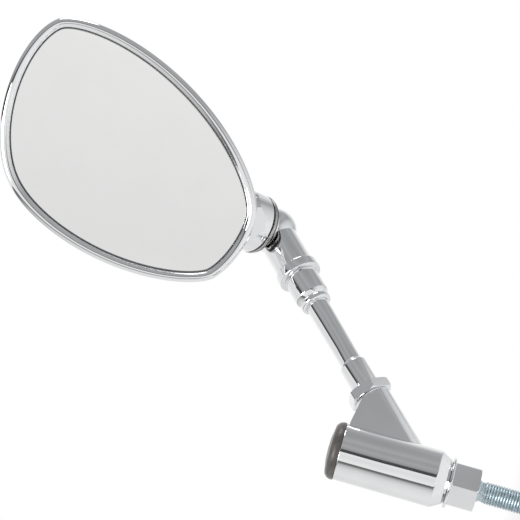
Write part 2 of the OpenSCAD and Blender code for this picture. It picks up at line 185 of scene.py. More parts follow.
def hand(piece, body, material, slot, *nodes):
    piece.data.materials.clear()
    piece.data.materials.append(material)
    if nodes:
        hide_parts(*nodes)
    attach(piece, body)
    return piece


# Node helpers

def newMaterial(name, metal=False):
    material = bpy.data.materials.new(name)
    material.use_nodes = True
    tree = material.node_tree
    shader = tree.nodes["Principled BSDF"]
    if metal:
        shader.inputs["Metallic"].default_value = 1
    coords = tree.nodes.new("ShaderNodeTexCoord")
    return material, tree, shader, coords


def maths(tree, kind, *values):
    # one sum of numbers or sockets
    node = tree.nodes.new("ShaderNodeMath")
    node.operation = kind
    for socket, value in zip(node.inputs, values):
        if isinstance(value, (int, float)):
            socket.default_value = value
        else:
            tree.links.new(value, socket)
    return node.outputs["Value"]


def vectorMaths(tree, kind, source, fixed=None):
    node = tree.nodes.new("ShaderNodeVectorMath")
    node.operation = kind
    tree.links.new(source, node.inputs[0])
    if fixed:
        node.inputs[1].default_value = fixed
    return node.outputs["Value" if kind in ("DOT_PRODUCT", "LENGTH") else "Vector"]


def noiseOn(tree, coords, scale, detail=4, rough=0.5, stretch=None):
    noise = tree.nodes.new("ShaderNodeTexNoise")
    noise.inputs["Scale"].default_value = scale
    noise.inputs["Detail"].default_value = detail
    noise.inputs["Roughness"].default_value = rough
    source = coords.outputs["Object"]
    if stretch:
        mapping = tree.nodes.new("ShaderNodeMapping")
        mapping.inputs["Scale"].default_value = stretch
        tree.links.new(source, mapping.inputs["Vector"])
        source = mapping.outputs["Vector"]
    tree.links.new(source, noise.inputs["Vector"])
    return noise.outputs["Fac"]


def cellsOn(tree, coords, scale):
    cells = tree.nodes.new("ShaderNodeTexVoronoi")
    cells.inputs["Scale"].default_value = scale
    tree.links.new(coords.outputs["Object"], cells.inputs["Vector"])
    return cells.outputs["Distance"]


def spread(tree, source, low, high, fromLow=0.3, fromHigh=0.7):
    node = tree.nodes.new("ShaderNodeMapRange")
    node.inputs["From Min"].default_value = fromLow
    node.inputs["From Max"].default_value = fromHigh
    node.inputs["To Min"].default_value = low
    node.inputs["To Max"].default_value = high
    tree.links.new(source, node.inputs["Value"])
    return node.outputs["Result"]


def colourBetween(tree, source, low, high, fromLow=0.35, fromHigh=0.65):
    ramp = tree.nodes.new("ShaderNodeValToRGB")
    ramp.color_ramp.elements[0].position = fromLow
    ramp.color_ramp.elements[0].color = (*low, 1)
    ramp.color_ramp.elements[1].position = fromHigh
    ramp.color_ramp.elements[1].color = (*high, 1)
    tree.links.new(source, ramp.inputs["Fac"])
    return ramp.outputs["Color"]


def dress(tree, shader, look, tone, rough):
    # the look's two colours follow one pattern, and its roughness another
    tree.links.new(colourBetween(tree, tone, look["dark"], look["light"]), shader.inputs["Base Color"])
    tree.links.new(spread(tree, rough, *look["rough"]), shader.inputs["Roughness"])


def bumpFrom(tree, shader, source, depth, strength):
    bump = tree.nodes.new("ShaderNodeBump")
    bump.inputs["Distance"].default_value = depth
    bump.inputs["Strength"].default_value = strength
    tree.links.new(source, bump.inputs["Height"])
    tree.links.new(bump.outputs["Normal"], shader.inputs["Normal"])


# Materials; a depth is in metres, and a scale is in patterns to the metre

chromeLook = {"dull": (0.86, 0.865, 0.875), "bright": (0.90, 0.905, 0.915), "haze": (0.028, 0.075),
    "marked": 0.05, "hazeScale": 420, "markScale": 60, "waveScale": 110, "waveDepth": 0.00002}


def chromePlate():
    # polished plate with faint haze, handling marks and the slight waviness of the metal under it
    look = chromeLook
    material, tree, shader, coords = newMaterial("polishedChrome", True)
    haze = noiseOn(tree, coords, look["hazeScale"], 5, 0.6)
    marks = noiseOn(tree, coords, look["markScale"], 6, 0.7)
    marked = spread(tree, marks, 0, look["marked"], 0.55, 0.8)
    rough = maths(tree, "ADD", spread(tree, haze, *look["haze"]), marked)
    tree.links.new(rough, shader.inputs["Roughness"])
    tone = colourBetween(tree, marks, look["dull"], look["bright"], 0.3, 0.6)
    tree.links.new(tone, shader.inputs["Base Color"])
    wave = noiseOn(tree, coords, look["waveScale"], 2, 0.4)
    bumpFrom(tree, shader, wave, look["waveDepth"], 0.35)
    return material


nickelLook = {"dark": (0.34, 0.33, 0.32), "light": (0.55, 0.54, 0.53), "rough": (0.12, 0.26),
    "brushScale": 900, "cloudScale": 160}


def darkNickel():
    # the ring at the ball is a duller plate, brushed round its edge
    material, tree, shader, coords = newMaterial("dullNickel", True)
    brushed = noiseOn(tree, coords, nickelLook["brushScale"], 4, 0.6)
    cloud = noiseOn(tree, coords, nickelLook["cloudScale"], 4, 0.6)
    dress(tree, shader, nickelLook, cloud, brushed)
    bumpFrom(tree, shader, brushed, 0.00002, 0.4)
    return material


zincLook = {"dark": (0.42, 0.51, 0.55), "light": (0.62, 0.72, 0.76), "rough": (0.22, 0.38),
    "cloudScale": 700, "turnedScale": 900, "turnedStretch": (0.15, 0.15, 3)}


def zincPlate():
    # dull bluish zinc with fine turning marks round the thread
    material, tree, shader, coords = newMaterial("zincPlate", True)
    cloud = noiseOn(tree, coords, zincLook["cloudScale"], 5, 0.6)
    turning = noiseOn(tree, coords, zincLook["turnedScale"], 3, 0.6, zincLook["turnedStretch"])
    dress(tree, shader, zincLook, cloud, turning)
    bumpFrom(tree, shader, turning, 0.00004, 0.5)
    return material


steelLook = {"dark": (0.20, 0.20, 0.20), "light": (0.42, 0.42, 0.43), "rough": (0.22, 0.45),
    "grindScale": 1200, "grindStretch": (0.1, 2, 2), "stainScale": 240}


def steelPlain():
    # oiled steel, ground in one direction
    material, tree, shader, coords = newMaterial("groundSteel", True)
    grind = noiseOn(tree, coords, steelLook["grindScale"], 4, 0.7, steelLook["grindStretch"])
    stain = noiseOn(tree, coords, steelLook["stainScale"], 5, 0.6)
    dress(tree, shader, steelLook, stain, grind)
    bumpFrom(tree, shader, grind, 0.00003, 0.6)
    return material


capLook = {"dark": (0.078, 0.071, 0.068), "light": (0.135, 0.124, 0.118), "rough": (0.24, 0.36),
    "grainScale": 2600, "patchScale": 130}


def capPlastic():
    # dark moulded plastic with a fine sparked grain
    material, tree, shader, coords = newMaterial("capPlastic")
    grain = noiseOn(tree, coords, capLook["grainScale"], 3, 0.6)
    patch = noiseOn(tree, coords, capLook["patchScale"], 4, 0.6)
    dress(tree, shader, capLook, patch, patch)
    shader.inputs["Specular IOR Level"].default_value = 0.5
    bumpFrom(tree, shader, grain, 0.00004, 0.5)
    return material


rubberLook = {"dark": (0.012, 0.012, 0.013), "light": (0.028, 0.028, 0.030), "rough": (0.45, 0.65)}
glassSealLook = {"dark": (0.10, 0.10, 0.10), "light": (0.17, 0.17, 0.17), "rough": (0.26, 0.40)}
rubberGrain = {"bloomScale": 300, "skinScale": 1800}


def sealRubber(name, look):
    # dark rubber with dull bloom
    material, tree, shader, coords = newMaterial(name)
    bloom = noiseOn(tree, coords, rubberGrain["bloomScale"], 6, 0.7)
    skin = noiseOn(tree, coords, rubberGrain["skinScale"], 3, 0.6)
    dress(tree, shader, look, bloom, bloom)
    bumpFrom(tree, shader, skin, 0.00005, 0.5)
    return material


glassLook = {"colour": (0.925, 0.925, 0.92), "dust": (0.90, 0.90, 0.895), "clean": 0.006, "dusty": 0.03,
    "dustScale": 45, "fineScale": 3000}


def silveredGlass():
    # front of the mirror: clean, with a little dust that dulls the reflection in patches
    look = glassLook
    material, tree, shader, coords = newMaterial("silveredGlass", True)
    dust = noiseOn(tree, coords, look["dustScale"], 7, 0.7)
    fine = noiseOn(tree, coords, look["fineScale"], 2, 0.5)
    dull = spread(tree, dust, look["clean"], look["dusty"], 0.45, 0.8)
    tree.links.new(maths(tree, "MULTIPLY", spread(tree, fine, 0.6, 1.4), dull), shader.inputs["Roughness"])
    tone = colourBetween(tree, dust, look["colour"], look["dust"], 0.4, 0.8)
    tree.links.new(tone, shader.inputs["Base Color"])
    return material


bronzeLook = {"dark": (0.16, 0.09, 0.04), "light": (0.50, 0.31, 0.15), "rough": 0.42, "poreScale": 2600}


def sinteredBronze():
    material, tree, shader, coords = newMaterial("sinteredBronze", True)
    pores = cellsOn(tree, coords, bronzeLook["poreScale"])
    tone = colourBetween(tree, pores, bronzeLook["dark"], bronzeLook["light"], 0.05, 0.35)
    tree.links.new(tone, shader.inputs["Base Color"])
    shader.inputs["Roughness"].default_value = bronzeLook["rough"]
    bumpFrom(tree, shader, pores, 0.00005, 0.6)
    return material


nylonLook = {"dark": (0.66, 0.64, 0.57), "light": (0.76, 0.75, 0.70), "rough": (0.35, 0.5),
    "cloudScale": 180, "skinScale": 1500}


def mouldedNylon():
    material, tree, shader, coords = newMaterial("mouldedNylon")
    cloud = noiseOn(tree, coords, nylonLook["cloudScale"], 4, 0.6)
    dress(tree, shader, nylonLook, cloud, cloud)
    bumpFrom(tree, shader, noiseOn(tree, coords, nylonLook["skinScale"], 3), 0.00003, 0.4)
    return material


foamLook = {"dark": (0.02, 0.02, 0.02), "light": (0.10, 0.10, 0.10), "rough": 0.85, "cellScale": 1400}


def foamPad():
    material, tree, shader, coords = newMaterial("foamPad")
    cells = cellsOn(tree, coords, foamLook["cellScale"])
    tone = colourBetween(tree, cells, foamLook["dark"], foamLook["light"], 0.1, 0.5)
    tree.links.new(tone, shader.inputs["Base Color"])
    shader.inputs["Roughness"].default_value = foamLook["rough"]
    bumpFrom(tree, shader, cells, 0.0002, 0.7)
    return material


chrome = chromePlate()
nickel = darkNickel()
zinc = zincPlate()
steel = steelPlain()
darkPlastic = capPlastic()
rubber = sealRubber("sealRubber", rubberLook)
glassRubber = sealRubber("glassSealRubber", glassSealLook)
mirrorFace = silveredGlass()
bronze = sinteredBronze()
nylon = mouldedNylon()
foam = foamPad()
print("materials ready")


# Mounting stud: a turned core, and a helical thread grown by nodes

stud = {"diameter": 10, "length": 25, "pitch": 1.25, "depth": 0.68, "plainShank": 8, "shankTop": 56.85,
    "endChamfer": (0.3, 0.6), "shankChamfer": 0.8, "runOut": (1.6, 1.0), "runOutStep": 0.1,
    "threadFrom": 0.9, "unthreaded": 2.6, "turnSteps": 48, "crestSteep": 1.6, "endFade": 18}


def threadTree(material):
    tree = bpy.data.node_groups.new("threadRidge", "GeometryNodeTree")
    tree.interface.new_socket("Geometry", in_out="OUTPUT", socket_type="NodeSocketGeometry")
    for name in ("Root Radius", "Pitch", "Turns", "Depth", "Start"):
        tree.interface.new_socket(name, in_out="INPUT", socket_type="NodeSocketFloat")
    nodes, link = tree.nodes, tree.links.new
    start, end = nodes.new("NodeGroupInput").outputs, nodes.new("NodeGroupOutput")
    helix = nodes.new("GeometryNodeCurveSpiral")
    helix.inputs["Resolution"].default_value = stud["turnSteps"]
    link(start["Turns"], helix.inputs["Rotations"])
    link(start["Root Radius"], helix.inputs["Start Radius"])
    link(start["Root Radius"], helix.inputs["End Radius"])
    link(maths(tree, "MULTIPLY", start["Pitch"], start["Turns"]), helix.inputs["Height"])

    # the ridge is a flat grid laid along the helix, one pitch wide
    grid = nodes.new("GeometryNodeMeshGrid")
    grid.inputs["Size X"].default_value = 1
    grid.inputs["Size Y"].default_value = 1
    grid.inputs["Vertices Y"].default_value = 5
    pointsAlong = maths(tree, "ADD", maths(tree, "MULTIPLY", start["Turns"], stud["turnSteps"]), 1)
    link(pointsAlong, grid.inputs["Vertices X"])
    place = nodes.new("GeometryNodeInputPosition")
    split = nodes.new("ShaderNodeSeparateXYZ")
    link(place.outputs["Position"], split.inputs["Vector"])
    along = maths(tree, "ADD", split.outputs["X"], 0.5)
    across = split.outputs["Y"]
    sample = nodes.new("GeometryNodeSampleCurve")
    link(helix.outputs["Curve"], sample.inputs["Curves"])
    link(along, sample.inputs["Factor"])
    middle = nodes.new("ShaderNodeSeparateXYZ")
    link(sample.outputs["Position"], middle.inputs["Vector"])

    # its height is 1 at the crest and 0 at both roots, and fades out at both ends
    crest = maths(tree, "SUBTRACT", 1, maths(tree, "MULTIPLY", maths(tree, "ABSOLUTE", across), 2))
    crest = maths(tree, "MINIMUM", maths(tree, "MULTIPLY", crest, stud["crestSteep"]), 1)
    fade = maths(tree, "MINIMUM", maths(tree, "MULTIPLY", along, stud["endFade"]),
        maths(tree, "MULTIPLY", maths(tree, "SUBTRACT", 1, along), stud["endFade"]))
    fade = maths(tree, "MINIMUM", fade, 1)
    lift = maths(tree, "MULTIPLY", maths(tree, "MULTIPLY", crest, fade), start["Depth"])
    share = maths(tree, "DIVIDE", maths(tree, "ADD", start["Root Radius"], lift), start["Root Radius"])
    join = nodes.new("ShaderNodeCombineXYZ")
    link(maths(tree, "MULTIPLY", middle.outputs["X"], share), join.inputs["X"])
    link(maths(tree, "MULTIPLY", middle.outputs["Y"], share), join.inputs["Y"])
    height = maths(tree, "ADD", middle.outputs["Z"], maths(tree, "MULTIPLY", across, start["Pitch"]))
    link(maths(tree, "ADD", height, start["Start"]), join.inputs["Z"])
    lay = nodes.new("GeometryNodeSetPosition")
    link(grid.outputs["Mesh"], lay.inputs["Geometry"])
    link(join.outputs["Vector"], lay.inputs["Position"])
    real, paint = nodes.new("GeometryNodeRealizeInstances"), nodes.new("GeometryNodeSetMaterial")
    paint.inputs["Material"].default_value = material
    link(lay.outputs["Geometry"], real.inputs["Geometry"])
    link(real.outputs["Geometry"], paint.inputs["Geometry"])
    link(paint.outputs["Geometry"], end.inputs["Geometry"])
    return tree


def grownPiece(name, tree, values):
    # runs a node tree with its named inputs, and keeps the result as a plain mesh with closed ends
    carrier = newPiece(name + "Carrier", bpy.data.meshes.new(name + "Carrier"))
    modifier = carrier.modifiers.new("grow", "NODES")
    modifier.node_group = tree
    for item in tree.interface.items_tree:
        if item.in_out == "INPUT" and item.name in values:
            modifier[item.identifier] = values[item.name]
    bpy.context.view_layer.update()
    ready = carrier.evaluated_get(bpy.context.evaluated_depsgraph_get())
    mesh = bpy.data.meshes.new_from_object(ready)
    bpy.data.objects.remove(carrier)
    cleanMesh(mesh, 40, closeEnds=True)
    return newPiece(name, mesh)


def studPieces():
    low, outer, shank, top = -stud["length"], stud["diameter"] / 2, stud["plainShank"] / 2, stud["shankTop"]
    root, bevel = outer - stud["depth"], stud["shankChamfer"]
    inward, upward = stud["endChamfer"]
    runFrom, runTo = stud["runOut"]
    profile = [(0, low), (root - inward, low), (root, low + upward), (root, -runFrom),
        (outer - stud["runOutStep"], -runTo), (outer, 0), (shank, 0), (shank, top - bevel),
        (shank - bevel, top), (0, top)]
    core = turnedPiece("studCore", roundCorners(profile, 0.12), onAxis)
    hand(core, "base", zinc, "zinc_steel", "pivot_stud")
    turns = int((stud["length"] - stud["unthreaded"]) / stud["pitch"])
    values = {"Root Radius": root * mm, "Pitch": stud["pitch"] * mm, "Turns": float(turns),
        "Depth": stud["depth"] * mm, "Start": (stud["threadFrom"] - stud["length"]) * mm}
    hand(grownPiece("studThread", threadTree(zinc), values), "base", zinc, "zinc_steel")


studPieces()
print("stud and thread ready")


# Mirror head: one smooth shell with a rolled rim and the ball boss, the glass and its seal

shell = {"reach": 61.4, "shift": 1.2, "long": 11.3, "slant": -2.2, "taper": -1.8, "swing": -2.2,
    "square": -1.5, "lean": -1.2, "ends": 0.7, "rim": 4.7, "rise": 2.4, "depth": 25.0, "wall": 1.8,
    "apex": (-12, -3), "pocketFloor": -4.48, "back": -3.6, "rimRoll": 2.2, "ledge": 2.4, "ledgeDrop": 1.5,
    "around": 384, "bowlRings": 40}
mouth = {"socket": 13.25, "boss": 14.9, "start": 1.0, "gasket": 0.9, "gasketInset": 0.4, "trim": 1.6,
    "dust": 0.9, "dustInset": 0.5, "hole": 12.25, "lip": 13.35, "lipHeight": 0.7, "skirtLow": 0.8,
    "fit": 0.04}
bossSize = {"edge": 0.25, "straight": 8.9, "rootFrom": (22, 7, 1), "rootRadius": 11, "cutAt": -2.4}


def outlinePoint(a, inset):
    # the edge that faces the angle a, moved inwards square to itself
    waves = ((1, shell["shift"], 0), (2, shell["long"], shell["slant"]), (3, shell["taper"], shell["swing"]),
        (4, shell["square"], shell["lean"]), (5, shell["ends"], 0.4 * shell["ends"]))
    reach = shell["reach"] - inset + sum(c * cos(k * a) + s * sin(k * a) for k, c, s in waves)
    slope = sum(k * (s * cos(k * a) - c * sin(k * a)) for k, c, s in waves)
    return reach * cos(a) - slope * sin(a), reach * sin(a) + slope * cos(a)


def outline(inset, height, share=1.0):
    ax, ay = shell["apex"]
    points = []
    for i in range(shell["around"]):
        x, y = outlinePoint(2 * pi * i / shell["around"], inset)
        points.append((ax + share * (x - ax), ay + share * (y - ay), height))
    return points


def bowlShare(depth):
    # how wide the bowl still is at a share of its depth
    return (1 - depth ** 2.4) ** (1 / 2.1)


def smoothThrough(points, steps):
    # a smooth curve through the given points
    out = []
    for i in range(len(points) - 1):
        p0, p1 = Vector(points[max(i - 1, 0)]), Vector(points[i])
        p2, p3 = Vector(points[i + 1]), Vector(points[min(i + 2, len(points) - 1)])
        for k in range(steps):
            t = k / steps
            q = 0.5 * ((2 * p1) + (p2 - p0) * t + (2 * p0 - 5 * p1 + 4 * p2 - p3) * t * t
                + (3 * p1 - p0 - 3 * p2 + p3) * t ** 3)
            out.append((q.x, q.y))
    out.append(tuple(points[-1]))
    return out


def shellPiece():
    # from the apex of the bowl out to the rolled rim, and back in along the pocket and the inner wall
    rim, rise, back, floor = shell["rim"], shell["rise"], shell["back"], shell["pocketFloor"]
    count = shell["bowlRings"]
    depths = [sin(pi / 2 * i / (count + 1.5)) for i in range(count + 1)]
    fall = shell["depth"] + back
    rings = [outline(shell["rimRoll"], back - fall * d, bowlShare(d)) for d in reversed(depths)]
    roll = [(shell["rimRoll"], back), (1.0, -2.8), (0.25, -1.6), (0, -0.2), (0.2, 1.0), (0.9, 1.9),
        (1.9, rise), (2.9, rise), (3.8, 1.9), (rim - 0.1, 1.0), (rim, 0.2)]
    rings += [outline(inset, height) for inset, height in smoothThrough(roll, 4)[1:]]
    inner, ceiling = rim + shell["ledge"], floor - shell["ledgeDrop"]
    rings += [outline(rim, floor), outline(inner, floor)]
    fall = shell["depth"] - shell["wall"] + ceiling
    rings += [outline(inner, ceiling - fall * d, bowlShare(d)) for d in depths]
    return ringPiece("headShell", rings, headPlace)


def bossPiece():
    # the round boss, its soft run into the bowl, and the level cut under the rim
    radius, top, edge = mouth["boss"], mouth["start"], bossSize["edge"]
    points = []
    for r, w in ((radius - edge, top), (radius, top - edge), (radius, top - bossSize["straight"])):
        points += [socketInHead @ Vector(p) for p in circle(r, w, 180)]
    centre = Vector(head["socket"]) + Vector(bossSize["rootFrom"])
    for k in range(1, 48):
        for i in range(96):
            a, b = pi * k / 48, 2 * pi * i / 96
            away = Vector((sin(a) * cos(b), sin(a) * sin(b), cos(a)))
            points.append(centre + bossSize["rootRadius"] * away)
    form = bmesh.new()
    for p in points:
        form.verts.new(p)
    bmesh.ops.convex_hull(form, input=form.verts)
    loose = [v for v in form.verts if not v.link_faces]
    bmesh.ops.delete(form, geom=loose, context="VERTS")
    cut = bmesh.ops.bisect_plane(form, geom=form.verts[:] + form.edges[:] + form.faces[:], dist=1e-5,
        plane_co=(0, 0, bossSize["cutAt"]), plane_no=(0, 0, 1), clear_outer=True)
    edges = [e for e in cut["geom_cut"] if isinstance(e, bmesh.types.BMEdge)]
    bmesh.ops.contextual_create(form, geom=edges)
    form.verts.index_update()
    points = [tuple(v.co) for v in form.verts]
    faces = [tuple(v.index for v in f.verts) for f in form.faces]
    form.free()
    return meshPiece("ballBoss", points, faces, headPlace, sharp=24)


def headPiece():
    piece = cutWith(shellPiece(), bossPiece(), "UNION")
    r = mouth["socket"]
    bore = [(0, -r)] + [(r * sin(pi / 2 * k / 24), -r * cos(pi / 2 * k / 24)) for k in range(1, 25)]
    bore += [(r, 6), (0, 6)]
    cutWith(piece, turnedPiece("socketTool", bore, socketPlace, 128))
    pocket = [outline(shell["rim"], height) for height in (shell["pocketFloor"], 8)]
    cutWith(piece, ringPiece("pocketTool", pocket, headPlace))
    smoothFaces(piece.data, 26)
    return piece


hand(headPiece(), "head", chrome, "chrome", "head_shell")

glassSize = {"thickness": 3.0, "bevel": ((0, -0.4), (0.12, -0.12), (0.45, 0)), "fit": 0.04, "sealWidth": 0.4,
    "sealTop": -0.4, "sealRound": 0.1}


def glassPiece():
    edge = shell["rim"] + 2 * glassSize["fit"] + glassSize["sealWidth"]
    rings = [outline(edge, -glassSize["thickness"])]
    rings += [outline(edge + inset, height) for inset, height in glassSize["bevel"]]
    return ringPiece("mirrorGlass", rings, headPlace, sharp=6)


def sealPiece():
    outer = shell["rim"] + glassSize["fit"]
    inner, low = outer + glassSize["sealWidth"], -glassSize["thickness"]
    top, soft = glassSize["sealTop"], glassSize["sealRound"]
    rings = [outline(inner, low), outline(outer, low), outline(outer, top - soft), outline(outer + soft, top),
        outline(inner - soft, top), outline(inner, top - soft), outline(inner, low)]
    return ringPiece("glassSeal", rings, headPlace, sharp=40, ends=False)


hand(glassPiece(), "head", mirrorFace, "mirror_glass", "mirror_glass")
hand(sealPiece(), "head", glassRubber, "seal_rubber", "glass_seal")
print("head ready")


# Gasket, trim ring and dust seal at the mouth of the ball socket

def mouthPieces():
    low = mouth["start"] + mouth["gasket"]
    high = low + mouth["trim"]
    top = high + mouth["dust"]
    socket, boss, lip, hole, fit = mouth["socket"], mouth["boss"], mouth["lip"], mouth["hole"], mouth["fit"]
    gasketEdge, dustEdge = boss - mouth["gasketInset"], boss - mouth["dustInset"]
    gasket = [(socket, mouth["start"]), (gasketEdge, mouth["start"]), (gasketEdge, low), (socket, low)]
    trim = [(hole, mouth["skirtLow"]), (socket - fit, mouth["skirtLow"]), (socket - fit, low), (boss, low),
        (boss, high), (lip, high), (lip, high + mouth["lipHeight"]), (hole, high + mouth["lipHeight"])]
    dust = [(lip + fit, high), (dustEdge, high), (dustEdge, top), (lip + fit, top)]
    rings = (("socketGasket", gasket, 0.15, 3, rubber, "seal_rubber", "socket_gasket"),
        ("trimRing", trim, 0.35, 5, nickel, "chrome", "trim_ring"),
        ("dustSeal", dust, 0.2, 4, rubber, "seal_rubber", "dust_seal"))
    for name, profile, radius, steps, material, slot, node in rings:
        piece = turnedPiece(name, roundCorners(profile, radius, steps), socketPlace, 192)
        hand(piece, "head", material, slot, node)


mouthPieces()


# Stem, its ring and sleeve, and the elbow; heights run along the stem from the pivot axis

stemSize = {"foot": 6.0, "footLow": 24, "shoulder": 6.45, "shoulderTop": 63.4, "low": 5.15, "top": 5.55,
    "end": 137, "jamLow": 43, "jamTop": 47.8, "ringLow": 100.4, "ring": 7.6, "ringHeight": 3.0,
    "sleeveLow": 103.4, "sleeve": 8.5, "sleeveLength": 15.2, "sleeveCone": 2.4, "chamfer": 0.8,
    "shoulderBevel": (0.5, 1), "undercut": 0.4, "taperAfter": 8, "taperBefore": 6}
elbowSize = {"collarLow": 118.6, "collar": 10.9, "collarHeight": 5.2, "leg": 9.5, "legLength": 26.4,
    "corner": 11.8, "neck": 10.4, "neckLow": 0.013, "ball": 12.0, "boreDepth": 18.6, "round": 0.7}
stemHole = stemSize["top"] + 0.04


def stemPieces():
    s, hole = stemSize, stemHole
    foot, shoulder, ring, sleeve, chamfer = s["foot"], s["shoulder"], s["ring"], s["sleeve"], s["chamfer"]
    jam, top = s["jamTop"] + 0.05, s["shoulderTop"]
    bevelIn, bevelDown = s["shoulderBevel"]
    rod = [(0, s["footLow"]), (foot - chamfer, s["footLow"]), (foot, s["footLow"] + chamfer), (foot, jam),
        (shoulder, jam), (shoulder, top - bevelDown), (shoulder - bevelIn, top),
        (s["low"], top + s["undercut"]), (s["low"], top + s["taperAfter"]),
        (s["top"], s["ringLow"] - s["taperBefore"]), (s["top"], s["end"] - chamfer),
        (s["top"] - chamfer, s["end"]), (0, s["end"])]
    band = [(hole, 0), (ring - 0.8, 0), (ring - 0.2, 0.4), (ring, 1), (ring, s["ringHeight"] - 0.6),
        (ring - 0.4, s["ringHeight"]), (hole, s["ringHeight"])]
    clamp = [(hole, 0), (ring - 0.6, 0), (sleeve, s["sleeveCone"]), (sleeve, s["sleeveLength"] - 0.4),
        (sleeve - 0.4, s["sleeveLength"]), (hole, s["sleeveLength"])]
    for name, profile, radius, steps, low, node in (("stemRod", rod, 0.3, 4, 0, "stem"),
            ("stemRing", band, 0.35, 4, s["ringLow"], "stem_ring"),
            ("clampSleeve", clamp, 0.5, 5, s["sleeveLow"], "clamp_sleeve")):
        piece = turnedPiece(name, roundCorners(profile, radius, steps), onStem(low))
        hand(piece, "stem", chrome, "chrome", node)


def arc(radius, middle=0):
    # half a circle from the axis round to the axis, without its two ends
    return [(radius * sin(pi * k / 96), middle - radius * cos(pi * k / 96)) for k in range(1, 96)]


def elbowPiece():
    e = elbowSize
    collar, collarTop, leg, corner, neck = e["collar"], e["collarHeight"], e["leg"], e["corner"], e["neck"]
    legTop = collarTop + e["legLength"]
    profile = [(0, 0), (collar, 0), (collar, collarTop), (leg, collarTop), (leg, legTop), (0, legTop)]
    body = turnedPiece("elbowBody", roundCorners(profile, e["round"], 5), onStem(e["collarLow"]), 192)
    knuckle = [(0, -corner)] + arc(corner) + [(0, corner)]
    cutWith(body, turnedPiece("cornerTool", knuckle, neckPlace(), 192), "UNION")
    ball = arc(e["ball"], arm["neckLength"])
    foot = next(i for i, p in enumerate(ball) if p[0] > neck + 0.05)
    stalk = [(0, e["neckLow"]), (neck, e["neckLow"]), (neck, ball[foot][1])] + ball[foot:]
    stalk.append((0, arm["neckLength"] + e["ball"]))
    cutWith(body, turnedPiece("stalkTool", stalk, neckPlace(), 192), "UNION")
    bored = [(0, -1), (stemHole, -1), (stemHole, e["boreDepth"]), (0, e["boreDepth"])]
    cutWith(body, turnedPiece("boreTool", bored, onStem(e["collarLow"]), 128))
    smoothFaces(body.data, 26)
    return body


stemPieces()
hand(elbowPiece(), "stem", chrome, "chrome", "elbow")
print("stem and elbow ready")


# Pivot: housing with its arm, both hexagons, washer and cap

housing = {"low": 13.25, "cone": 9.8, "coneTop": 18.85, "radius": 13.0, "rim": 63.45, "bush": 6.54,
    "bushTop": 39.25, "chamber": 10.2, "hub": 8.7, "hubLow": 4, "reach": 43.0, "bore": 6.05,
    "footLength": 19, "round": 0.6, "hubRound": 0.7}
gusset = {"topDrop": 1.2, "topIn": 2, "endBack": 2, "noseShare": 0.5, "noseBack": 4, "noseDrop": 2.2,
    "lowShare": 0.2}


def housingPiece():
    h, g = housing, gusset
    low, rim, radius, hub, reach, bore = h["low"], h["rim"], h["radius"], h["hub"], h["reach"], h["bore"]
    tilt = radians(arm["stemTilt"])
    side = [(0, low), (h["cone"], low), (radius, h["coneTop"]), (radius, rim), (0, rim)]
    body = turnedPiece("pivotHousing", roundCorners(side, h["round"], 5), onAxis, 256)
    topZ, footX = rim - g["topDrop"], radius / 2
    endX, endZ = reach * sin(tilt), arm["crossZ"] + reach * cos(tilt)
    lowZ = arm["crossZ"] + footX / tan(tilt) - hub / sin(tilt) * g["lowShare"]
    noseX = endX - hub * cos(tilt) * g["noseShare"] - g["noseBack"]
    web = [(footX, lowZ), (endX - g["endBack"] * sin(tilt), endZ - g["endBack"] * cos(tilt)),
        (noseX, topZ - g["noseDrop"]), (radius - g["topIn"], topZ), (footX, topZ)]
    sides = [[(x, y, z) for x, z in web] for y in (-hub, hub)]
    cutWith(body, ringPiece("webTool", sides, onAxis, sharp=20), "UNION")
    tube = [(0, h["hubLow"]), (hub, h["hubLow"]), (hub, reach), (0, reach)]
    cutWith(body, turnedPiece("hubTool", roundCorners(tube, h["hubRound"], 5), onStem(0), 256), "UNION")
    inside = [(0, low - 1), (h["bush"], low - 1), (h["bush"], h["bushTop"]), (h["chamber"], h["bushTop"]),
        (h["chamber"], rim + 1), (0, rim + 1)]
    cutWith(body, turnedPiece("chamberTool", inside, onAxis, 128))
    boreLow = reach - h["footLength"] - 1
    bored = [(0, boreLow), (bore, boreLow), (bore, reach + 1), (0, reach + 1)]
    cutWith(body, turnedPiece("stemBoreTool", bored, onStem(0), 128))
    smoothFaces(body.data, 20)
    return keepFlatsFlat(body)


hexSizes = {"baseHexagon": {"flats": 19, "height": 12, "turn": -3.5, "hole": 4.04},
    "jamNut": {"flats": 19, "height": 4.8, "turn": 24.2, "hole": 6.05}}
hexEdges = {"chamfer": 0.9, "slope": 0.6, "lift": 0.02, "sharpness": 90, "steps": 240}


def hexPiece(name, place):
    # a hexagon with its corners turned off at both ends and its upright edges just broken
    size, power, steps = hexSizes[name], hexEdges["sharpness"], hexEdges["steps"]
    apothem, hole, height = size["flats"] / 2, size["hole"], size["height"]
    turnedOff = apothem / cos(radians(30)) - hexEdges["chamfer"]
    rings = [[], [], [], [], [], []]
    for i in range(steps):
        a = 2 * pi * i / steps
        flats = [cos(a - radians(30 + 60 * k)) for k in range(6)]
        radius = sum((apothem / f) ** -power for f in flats if f > 0.2) ** (-1 / power)
        flatEnd = min(radius, turnedOff)
        rise = max(radius - turnedOff, 0) * hexEdges["slope"] + hexEdges["lift"]
        angle = a + radians(size["turn"])
        for ring, (r, z) in zip(rings, ((hole, 0), (flatEnd, 0), (radius, rise), (radius, height - rise),
                (flatEnd, height), (hole, height))):
            ring.append((r * cos(angle), r * sin(angle), z))
    return keepFlatsFlat(ringPiece(name, rings + rings[:1], place, sharp=16, ends=False))


capSize = {"radius": 13.2, "low": 63.45, "height": 5.4, "round": 3.6, "skirt": 10.16, "skirtHole": 8.5,
    "skirtLength": 5, "wall": 2.4, "ceilingFall": 1, "crownRise": 1, "crownFlat": (0.4, 0.25)}


